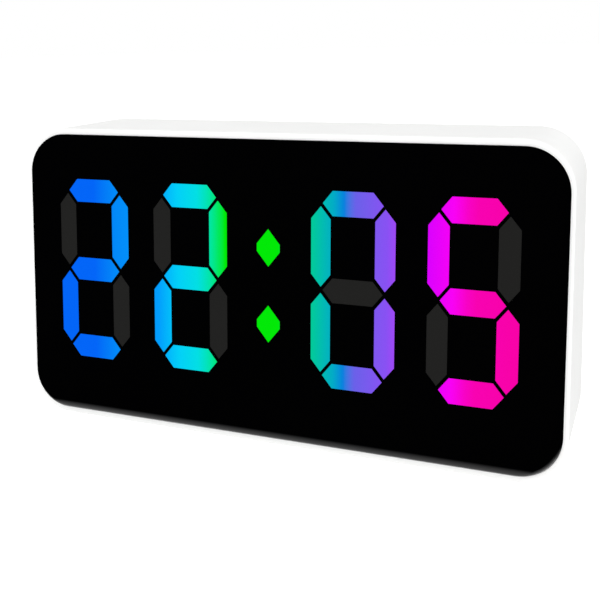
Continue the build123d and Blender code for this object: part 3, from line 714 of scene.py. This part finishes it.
def row_layout(name, zones):
    """Pieces in a straight row, every other one turned round if asked, with a material for each zone."""
    inputs = {"Count": "Int", "Start": "Vector", "Step": "Vector", "Turn": "Vector"}
    labels = [f"Material {number}" for number in range(1, zones + 1)]
    tree, given, result = start_layout(name, inputs | dict.fromkeys(labels, "Material"))
    line = add(
        tree, "GeometryNodeMeshLine",
        {"Count": given["Count"], "Start Location": given["Start"], "Offset": given["Step"]},
    )
    odd = sums(tree, "MODULO", add(tree, "GeometryNodeInputIndex").outputs[0], 2.0)
    turn = add(tree, "ShaderNodeVectorMath", {0: given["Turn"], "Scale": odd}, operation="SCALE").outputs[0]
    placed = add(
        tree, "GeometryNodeInstanceOnPoints",
        {"Points": line.outputs[0], "Instance": given["Geometry"], "Rotation": turn},
    )
    last = add(tree, "GeometryNodeRealizeInstances", {0: placed.outputs[0]})
    for number, label in enumerate(labels):
        zone = add(tree, "GeometryNodeInputNamedAttribute", {"Name": "zone"}, data_type="INT")
        chosen = add(tree, "FunctionNodeCompare", data_type="INT", operation="EQUAL")
        integers = [socket for socket in chosen.inputs if socket.enabled]
        tree.links.new(zone.outputs[0], integers[0])
        integers[1].default_value = number
        paint = {"Geometry": last.outputs[0], "Selection": chosen.outputs[0], "Material": given[label]}
        last = add(tree, "GeometryNodeSetMaterial", paint)
    tree.links.new(last.outputs[0], result.inputs[0])
    return tree


def lay_row(name, mesh, count, start, step, materials, turn=0.0):
    """Lays a row of copies of a mesh, with every other one turned about Z by the angle given."""
    values = {"Count": count, "Start": Vector(start), "Step": step, "Turn": (0.0, 0.0, turn)}
    values |= {f"Material {number}": material for number, material in enumerate(materials, 1)}
    return lay_out(name, mesh, row_layout(name, len(materials)), values)


# Operators

class DESK_CLOCK_OT_front(Operator):
    """Gives the front panel its black face and polished edge"""

    bl_idname = "desk_clock.front"
    bl_label = "Front panel"

    def execute(self, context):
        dress(front_black(context.scene.desk_clock.finishes.panel_black), "front_panel")
        return {"FINISHED"}


class DESK_CLOCK_OT_digits(Operator):
    """Lights the segments that show the time and greys the others"""

    bl_idname = "desk_clock.digits"
    bl_label = "Digits"

    def execute(self, context):
        settings = context.scene.desk_clock
        dress(lit_diffuser(settings), "colon_dots", *[f"digit_{i}_lit" for i in DIGITS])
        grey = moulded_plastic(
            "diffuser_dark", settings.finishes.unlit, 0.55, 0.2 * MM, 0.001 * MM,
            drift=0.01, dust=0.0, level=0.05,
        )
        dress(grey, *[f"digit_{i}_dark" for i in DIGITS])
        return {"FINISHED"}


class DESK_CLOCK_OT_housing(Operator):
    """Finishes the case, the rear cover and the battery door in grained white plastic"""

    bl_idname = "desk_clock.housing"
    bl_label = "Housing"

    def execute(self, context):
        finishes = context.scene.desk_clock.finishes
        grain, depth = finishes.grain_size, finishes.grain_depth
        case = moulded_plastic("case_white", finishes.case_white, 0.5, grain, depth, dust=0.04, softness=0.3)
        dress(case, "case_shell")
        cover = moulded_plastic("cover_white", finishes.cover_white, 0.55, grain * 1.6, depth * 3.0, dust=0.1)
        dress(cover, "rear_cover", "battery_door")
        return {"FINISHED"}


class DESK_CLOCK_OT_grip(Operator):
    """Lays ribs across the grip of the battery door"""

    bl_idname = "desk_clock.grip"
    bl_label = "Door grip"

    def execute(self, context):
        fittings = context.scene.desk_clock.fittings
        low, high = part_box("battery_door")
        rib_depth = fittings.grip_depth * 0.7
        sunk = rib_depth * 0.12
        bar = rounded_bar("rib", fittings.rib_width, rib_depth, fittings.rib_length, fittings.rib_width * 0.3)
        start = (
            (low.x + high.x) / 2 - fittings.rib_pitch * (fittings.rib_count - 1) / 2,
            high.y - fittings.grip_depth + rib_depth / 2 - sunk,
            high.z - fittings.grip_inset,
        )
        step = (fittings.rib_pitch, 0.0, 0.0)
        white = [bpy.data.materials["cover_white"]]
        piece = lay_row("door_grip_ribs", bar, fittings.rib_count, start, step, white)
        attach(piece, "door")
        return {"FINISHED"}


class DESK_CLOCK_OT_buttons(Operator):
    """Finishes the buttons and the key switches under them"""

    bl_idname = "desk_clock.buttons"
    bl_label = "Buttons"

    def execute(self, context):
        finishes = context.scene.desk_clock.finishes
        white = moulded_plastic("button_white", finishes.button_white, 0.38, 0.5 * MM, 0.003 * MM, dust=0.03)
        dress(white, *[f"{key}_button" for key in KEYS])
        black = moulded_plastic("switch_black", (0.025, 0.025, 0.025), 0.42, 0.25 * MM, 0.003 * MM, level=0.4)
        dress(black, "switch_bodies", *[f"{key}_plunger" for key in KEYS])
        return {"FINISHED"}


class DESK_CLOCK_OT_marks(Operator):
    """Prints a plain mark on each button"""

    bl_idname = "desk_clock.marks"
    bl_label = "Button marks"

    def execute(self, context):
        settings = context.scene.desk_clock
        scale, thickness = settings.fittings.mark_width / 3, settings.fittings.mark_thickness
        ink = moulded_plastic(
            "mark_ink", settings.finishes.ink, 0.6, 0.2 * MM, 0.002 * MM, dust=0.0, level=0.3
        )
        for key in KEYS:
            low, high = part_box(f"{key}_button")
            middle, sunk_to = (low + high) / 2, high.y - thickness / 2
            piece = printed_mark(f"{key}_mark", mark_outlines(key), middle, scale, sunk_to, thickness)
            piece.data.materials.append(ink)
            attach(piece, f"{key}_key")
        return {"FINISHED"}


class DESK_CLOCK_OT_screws(Operator):
    """Puts cross-recess screws in the rear cover, and finishes the screws inside"""

    bl_idname = "desk_clock.screws"
    bl_label = "Screws"

    def execute(self, context):
        fittings = context.scene.desk_clock.fittings
        steel = plated_metal("screw_steel", (0.40, 0.41, 0.43), 0.3)
        dress(steel, "board_screws", "display_screws")
        head, tall = fittings.screw_head_radius, fittings.screw_head_height
        outer, pitch, length = fittings.screw_radius, fittings.thread_pitch, fittings.screw_length
        root = outer * 0.78
        profile = [(head * radius, tall * height) for radius, height in HEAD_SHARES]
        profile.append((root, 0.0))
        below = pitch
        while below < length - 2 * pitch:
            profile += [(root, -below), (outer, -below - pitch * 0.45), (root, -below - pitch * 0.9)]
            below += pitch
        profile += [(root, -below), (root * 0.35, -length * 0.985), (0.0, -length)]
        recess = cross_cutter(fittings.recess_reach, fittings.recess_depth, tall)
        screw = cut_away(turned("screw", profile, 40), recess)
        low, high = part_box("case_screws")
        values = {
            "Width": high.x - low.x - 2 * head,
            "Height": high.z - low.z - 2 * head,
            "Middle": Vector(((low.x + high.x) / 2, high.y - tall, (low.z + high.z) / 2)),
            "Seed": 4,
            "Material": steel,
        }
        piece = lay_out("case_screw_set", screw, screw_layout(), values)
        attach(piece, "clock")
        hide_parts("case_screws")
        return {"FINISHED"}


class DESK_CLOCK_OT_cells(Operator):
    """Puts sleeved cells in the battery bay, and finishes the contacts at their ends"""

    bl_idname = "desk_clock.cells"
    bl_label = "Cells"

    def execute(self, context):
        settings = context.scene.desk_clock
        fittings = settings.fittings
        plated = plated_metal("plated_contact", (0.78, 0.78, 0.76), 0.24)
        dress(plated, "flat_contacts", "spring_contacts")
        radius, rise, count = fittings.cell_radius, fittings.cell_nub_height, fittings.cell_count
        low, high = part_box("battery_cells")
        cell = self.turn_cell(fittings)
        cell.transform(Matrix.Rotation(math.pi / 2, 4, "Y"))
        cell.transform(Matrix.Translation((high.x - rise, 0.0, 0.0)))
        start = (0.0, (low.y + high.y) / 2, low.z + radius)
        step = (0.0, 0.0, (high.z - low.z - 2 * radius) / max(1, count - 1))
        ring = moulded_plastic("cell_ring", (0.7, 0.69, 0.66), 0.5)
        materials = [banded_sleeve(settings.finishes.sleeve), plated, ring]
        piece = lay_row("cells_in_sleeves", cell, count, start, step, materials, turn=math.pi)
        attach(piece, "clock")
        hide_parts("battery_cells")
        return {"FINISHED"}

    def turn_cell(self, fittings):
        """Turns one cell that stands on its flat end, with its shoulder at the origin."""
        radius, length = fittings.cell_radius, fittings.cell_length
        nub, rise = fittings.cell_nub_radius, fittings.cell_nub_height
        points = [(nub * share, rise * height, METAL) for share, height in NUB_SHARES]
        points += [(nub, 0.1 * MM, METAL), (nub * 1.15, 0.02 * MM, METAL)]
        points += [(radius * share, height * MM, zone) for share, height, zone in SHOULDER]
        points += [(radius * share, height * MM - length, zone) for share, height, zone in FLAT_END]
        cell = turned("cell", [(r, h) for r, h, _ in points], 56, [zone for _, _, zone in points])
        band_end = -(BAND + BAND_EDGE / 2) * MM
        band = cell.attributes.new("band", "FLOAT", "POINT")
        for number, vert in enumerate(cell.vertices):
            band.data[number].value = 1.0 if vert.co.z > band_end else 0.0
        return cell


class DESK_CLOCK_OT_socket(Operator):
    """Finishes the power socket and lays contact pads on its tongue"""

    bl_idname = "desk_clock.socket"
    bl_label = "Power socket"

    def execute(self, context):
        fittings = context.scene.desk_clock.fittings
        dress(plated_metal("steel_can", (0.66, 0.67, 0.68), 0.28), "power_socket", "timing_crystal")
        low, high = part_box("power_socket")
        middle = (low + high) / 2
        count, pitch, length = fittings.pad_count, fittings.pad_pitch, fittings.pad_length
        thickness = fittings.pad_thickness
        for label, side in (("lower", -1), ("upper", 1)):
            pad = rounded_bar("pad", fittings.pad_width, length, thickness, thickness / 5)
            start = (
                middle.x - pitch * (count - 1) / 2,
                high.y - fittings.pad_inset - length / 2,
                middle.z + side * fittings.pad_height,
            )
            plated = [bpy.data.materials["plated_contact"]]
            piece = lay_row(f"socket_pads_{label}", pad, count, start, (pitch, 0.0, 0.0), plated)
            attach(piece, "clock")
        return {"FINISHED"}


class DESK_CLOCK_OT_boards(Operator):
    """Finishes the boards, what they carry, and the frame behind the segments"""

    bl_idname = "desk_clock.boards"
    bl_label = "Boards"

    def execute(self, context):
        dress(solder_resist(), "led_board", "main_board")
        dress(plated_metal("tinned_metal", (0.72, 0.72, 0.70), 0.3), "chip_legs")
        dress(ribbed_ribbon(), "ribbon_cable")
        for finish, colour, roughness, grain, depth, level, nodes in INNER_PLASTICS:
            dress(moulded_plastic(finish, colour, roughness, grain * MM, depth * MM, level=level), *nodes)
        return {"FINISHED"}


class DESK_CLOCK_OT_feet(Operator):
    """Finishes the rubber feet"""

    bl_idname = "desk_clock.feet"
    bl_label = "Feet"

    def execute(self, context):
        black = context.scene.desk_clock.finishes.foot_black
        rubber = moulded_plastic("foot_rubber", black, 0.75, 0.4 * MM, 0.02 * MM, dust=0.3, level=0.3)
        dress(rubber, "rubber_feet")
        return {"FINISHED"}


class DESK_CLOCK_OT_stage(Operator):
    """Sets up the pale floor, the soft lights and the camera"""

    bl_idname = "desk_clock.stage"
    bl_label = "Stage"

    def execute(self, context):
        scene, stage = context.scene, context.scene.desk_clock.stage
        scene.view_settings.view_transform = "Standard"
        self.lay_floor(stage)
        self.light_room(scene, stage)
        self.hang_lamps(scene, stage)
        self.set_camera(scene, stage)
        return {"FINISHED"}

    def lay_floor(self, stage):
        """A round floor that glows less behind the clock, and that the camera sees as white."""
        mesh = bmesh.new()
        bmesh.ops.create_circle(mesh, cap_ends=True, segments=128, radius=4.0)
        floor = show("floor", set_down("floor", mesh))
        table = moulded_plastic(
            "floor_white", stage.floor_white, 0.7, 2 * MM, 0.01 * MM, drift=0.004, dust=0.0, level=0.0
        )
        tree = table.node_tree
        shader = tree.nodes["Principled BSDF"]
        shader.inputs["Emission Color"].default_value = (*WHITE, 1.0)
        ray = add(tree, "ShaderNodeLightPath").outputs
        away = axes(tree, add(tree, "ShaderNodeTexCoord").outputs["Object"])[1]
        given = spread(tree, away, -0.1, 0.1, stage.floor_glow, stage.rear_floor_glow)
        glow = add(tree, "ShaderNodeMix", {0: ray["Is Camera Ray"], 2: given, 3: stage.floor_clearness})
        tree.links.new(glow.outputs[0], shader.inputs["Emission Strength"])
        floor.data.materials.append(table)

    def light_room(self, scene, stage):
        """A room that lights the clock more from in front, and gleams more from behind."""
        scene.world = bpy.data.worlds.new("room")
        scene.world.use_nodes = True
        tree = scene.world.node_tree
        ray = add(tree, "ShaderNodeLightPath").outputs
        away = axes(tree, add(tree, "ShaderNodeTexCoord").outputs["Generated"])[1]
        lit = spread(tree, away, -0.3, 0.3, stage.sky, stage.sky * (1 - stage.rear_dimness))
        gleam = spread(tree, away, -0.25, 0.25, stage.front_gleam, stage.rear_gleam)
        felt = blend_colours(tree, ray["Is Glossy Ray"], lit, gleam)
        seen = blend_colours(tree, ray["Is Camera Ray"], felt, WHITE)
        tree.links.new(seen, tree.nodes["Background"].inputs["Color"])

    def hang_lamps(self, scene, stage):
        """The large lights, each turned to the middle of the clock."""
        middle = Vector((0.0, 0.0, 0.04))
        for name, width, place, shows in LAMPS:
            lamp = bpy.data.lights.new(f"{name}_light", "AREA")
            lamp.energy, lamp.shape, lamp.size = getattr(stage, f"{name}_power"), "DISK", width
            made = bpy.data.objects.new(f"{name}_light", lamp)
            scene.collection.objects.link(made)
            made.location = place
            made.rotation_mode = "QUATERNION"
            made.rotation_quaternion = (middle - made.location).to_track_quat("-Z", "Y")
            made.visible_glossy = shows

    def set_camera(self, scene, stage):
        """The camera, at the place and angle of the photograph."""
        camera = bpy.data.objects.new("camera", bpy.data.cameras.new("camera"))
        scene.collection.objects.link(camera)
        camera.data.sensor_width = 36.0
        camera.data.lens, camera.data.shift_y = stage.lens, stage.shift
        camera.data.clip_start = 0.01
        turn = Matrix.Rotation(stage.heading, 4, "Z") @ Matrix.Rotation(math.pi / 2 - stage.tilt, 4, "X")
        camera.matrix_world = Matrix.Translation(stage.place) @ turn @ Matrix.Rotation(stage.roll, 4, "Z")
        scene.camera = camera


class VIEW3D_PT_desk_clock(Panel):
    bl_label = "Desk clock"
    bl_category = "Desk clock"
    bl_space_type = "VIEW_3D"
    bl_region_type = "UI"

    def draw(self, context):
        settings = context.scene.desk_clock
        for title in ("digits", "finishes", "fittings", "stage"):
            box = self.layout.box()
            box.label(text=title.capitalize())
            group = getattr(settings, title)
            for key in group.__annotations__:
                box.prop(group, key)
        for operator in OPERATORS:
            self.layout.operator(operator.bl_idname)


# In the order in which they run, because the grip and the socket take finishes that others make
OPERATORS = (
    DESK_CLOCK_OT_stage,
    DESK_CLOCK_OT_front,
    DESK_CLOCK_OT_digits,
    DESK_CLOCK_OT_housing,
    DESK_CLOCK_OT_grip,
    DESK_CLOCK_OT_buttons,
    DESK_CLOCK_OT_marks,
    DESK_CLOCK_OT_screws,
    DESK_CLOCK_OT_cells,
    DESK_CLOCK_OT_socket,
    DESK_CLOCK_OT_boards,
    DESK_CLOCK_OT_feet,
)
CLASSES = (
    DigitColours, ClockFinishes, ClockFittings, ClockStage, ClockSettings, *OPERATORS, VIEW3D_PT_desk_clock,
)


def register():
    for item in CLASSES:
        bpy.utils.register_class(item)
    bpy.types.Scene.desk_clock = PointerProperty(type=ClockSettings)


def unregister():
    del bpy.types.Scene.desk_clock
    for item in reversed(CLASSES):
        bpy.utils.unregister_class(item)


def main():
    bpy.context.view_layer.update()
    register()
    for operator in OPERATORS:
        group, action = operator.bl_idname.split(".")
        getattr(getattr(bpy.ops, group), action)()


if __name__ == "__main__":
    main()
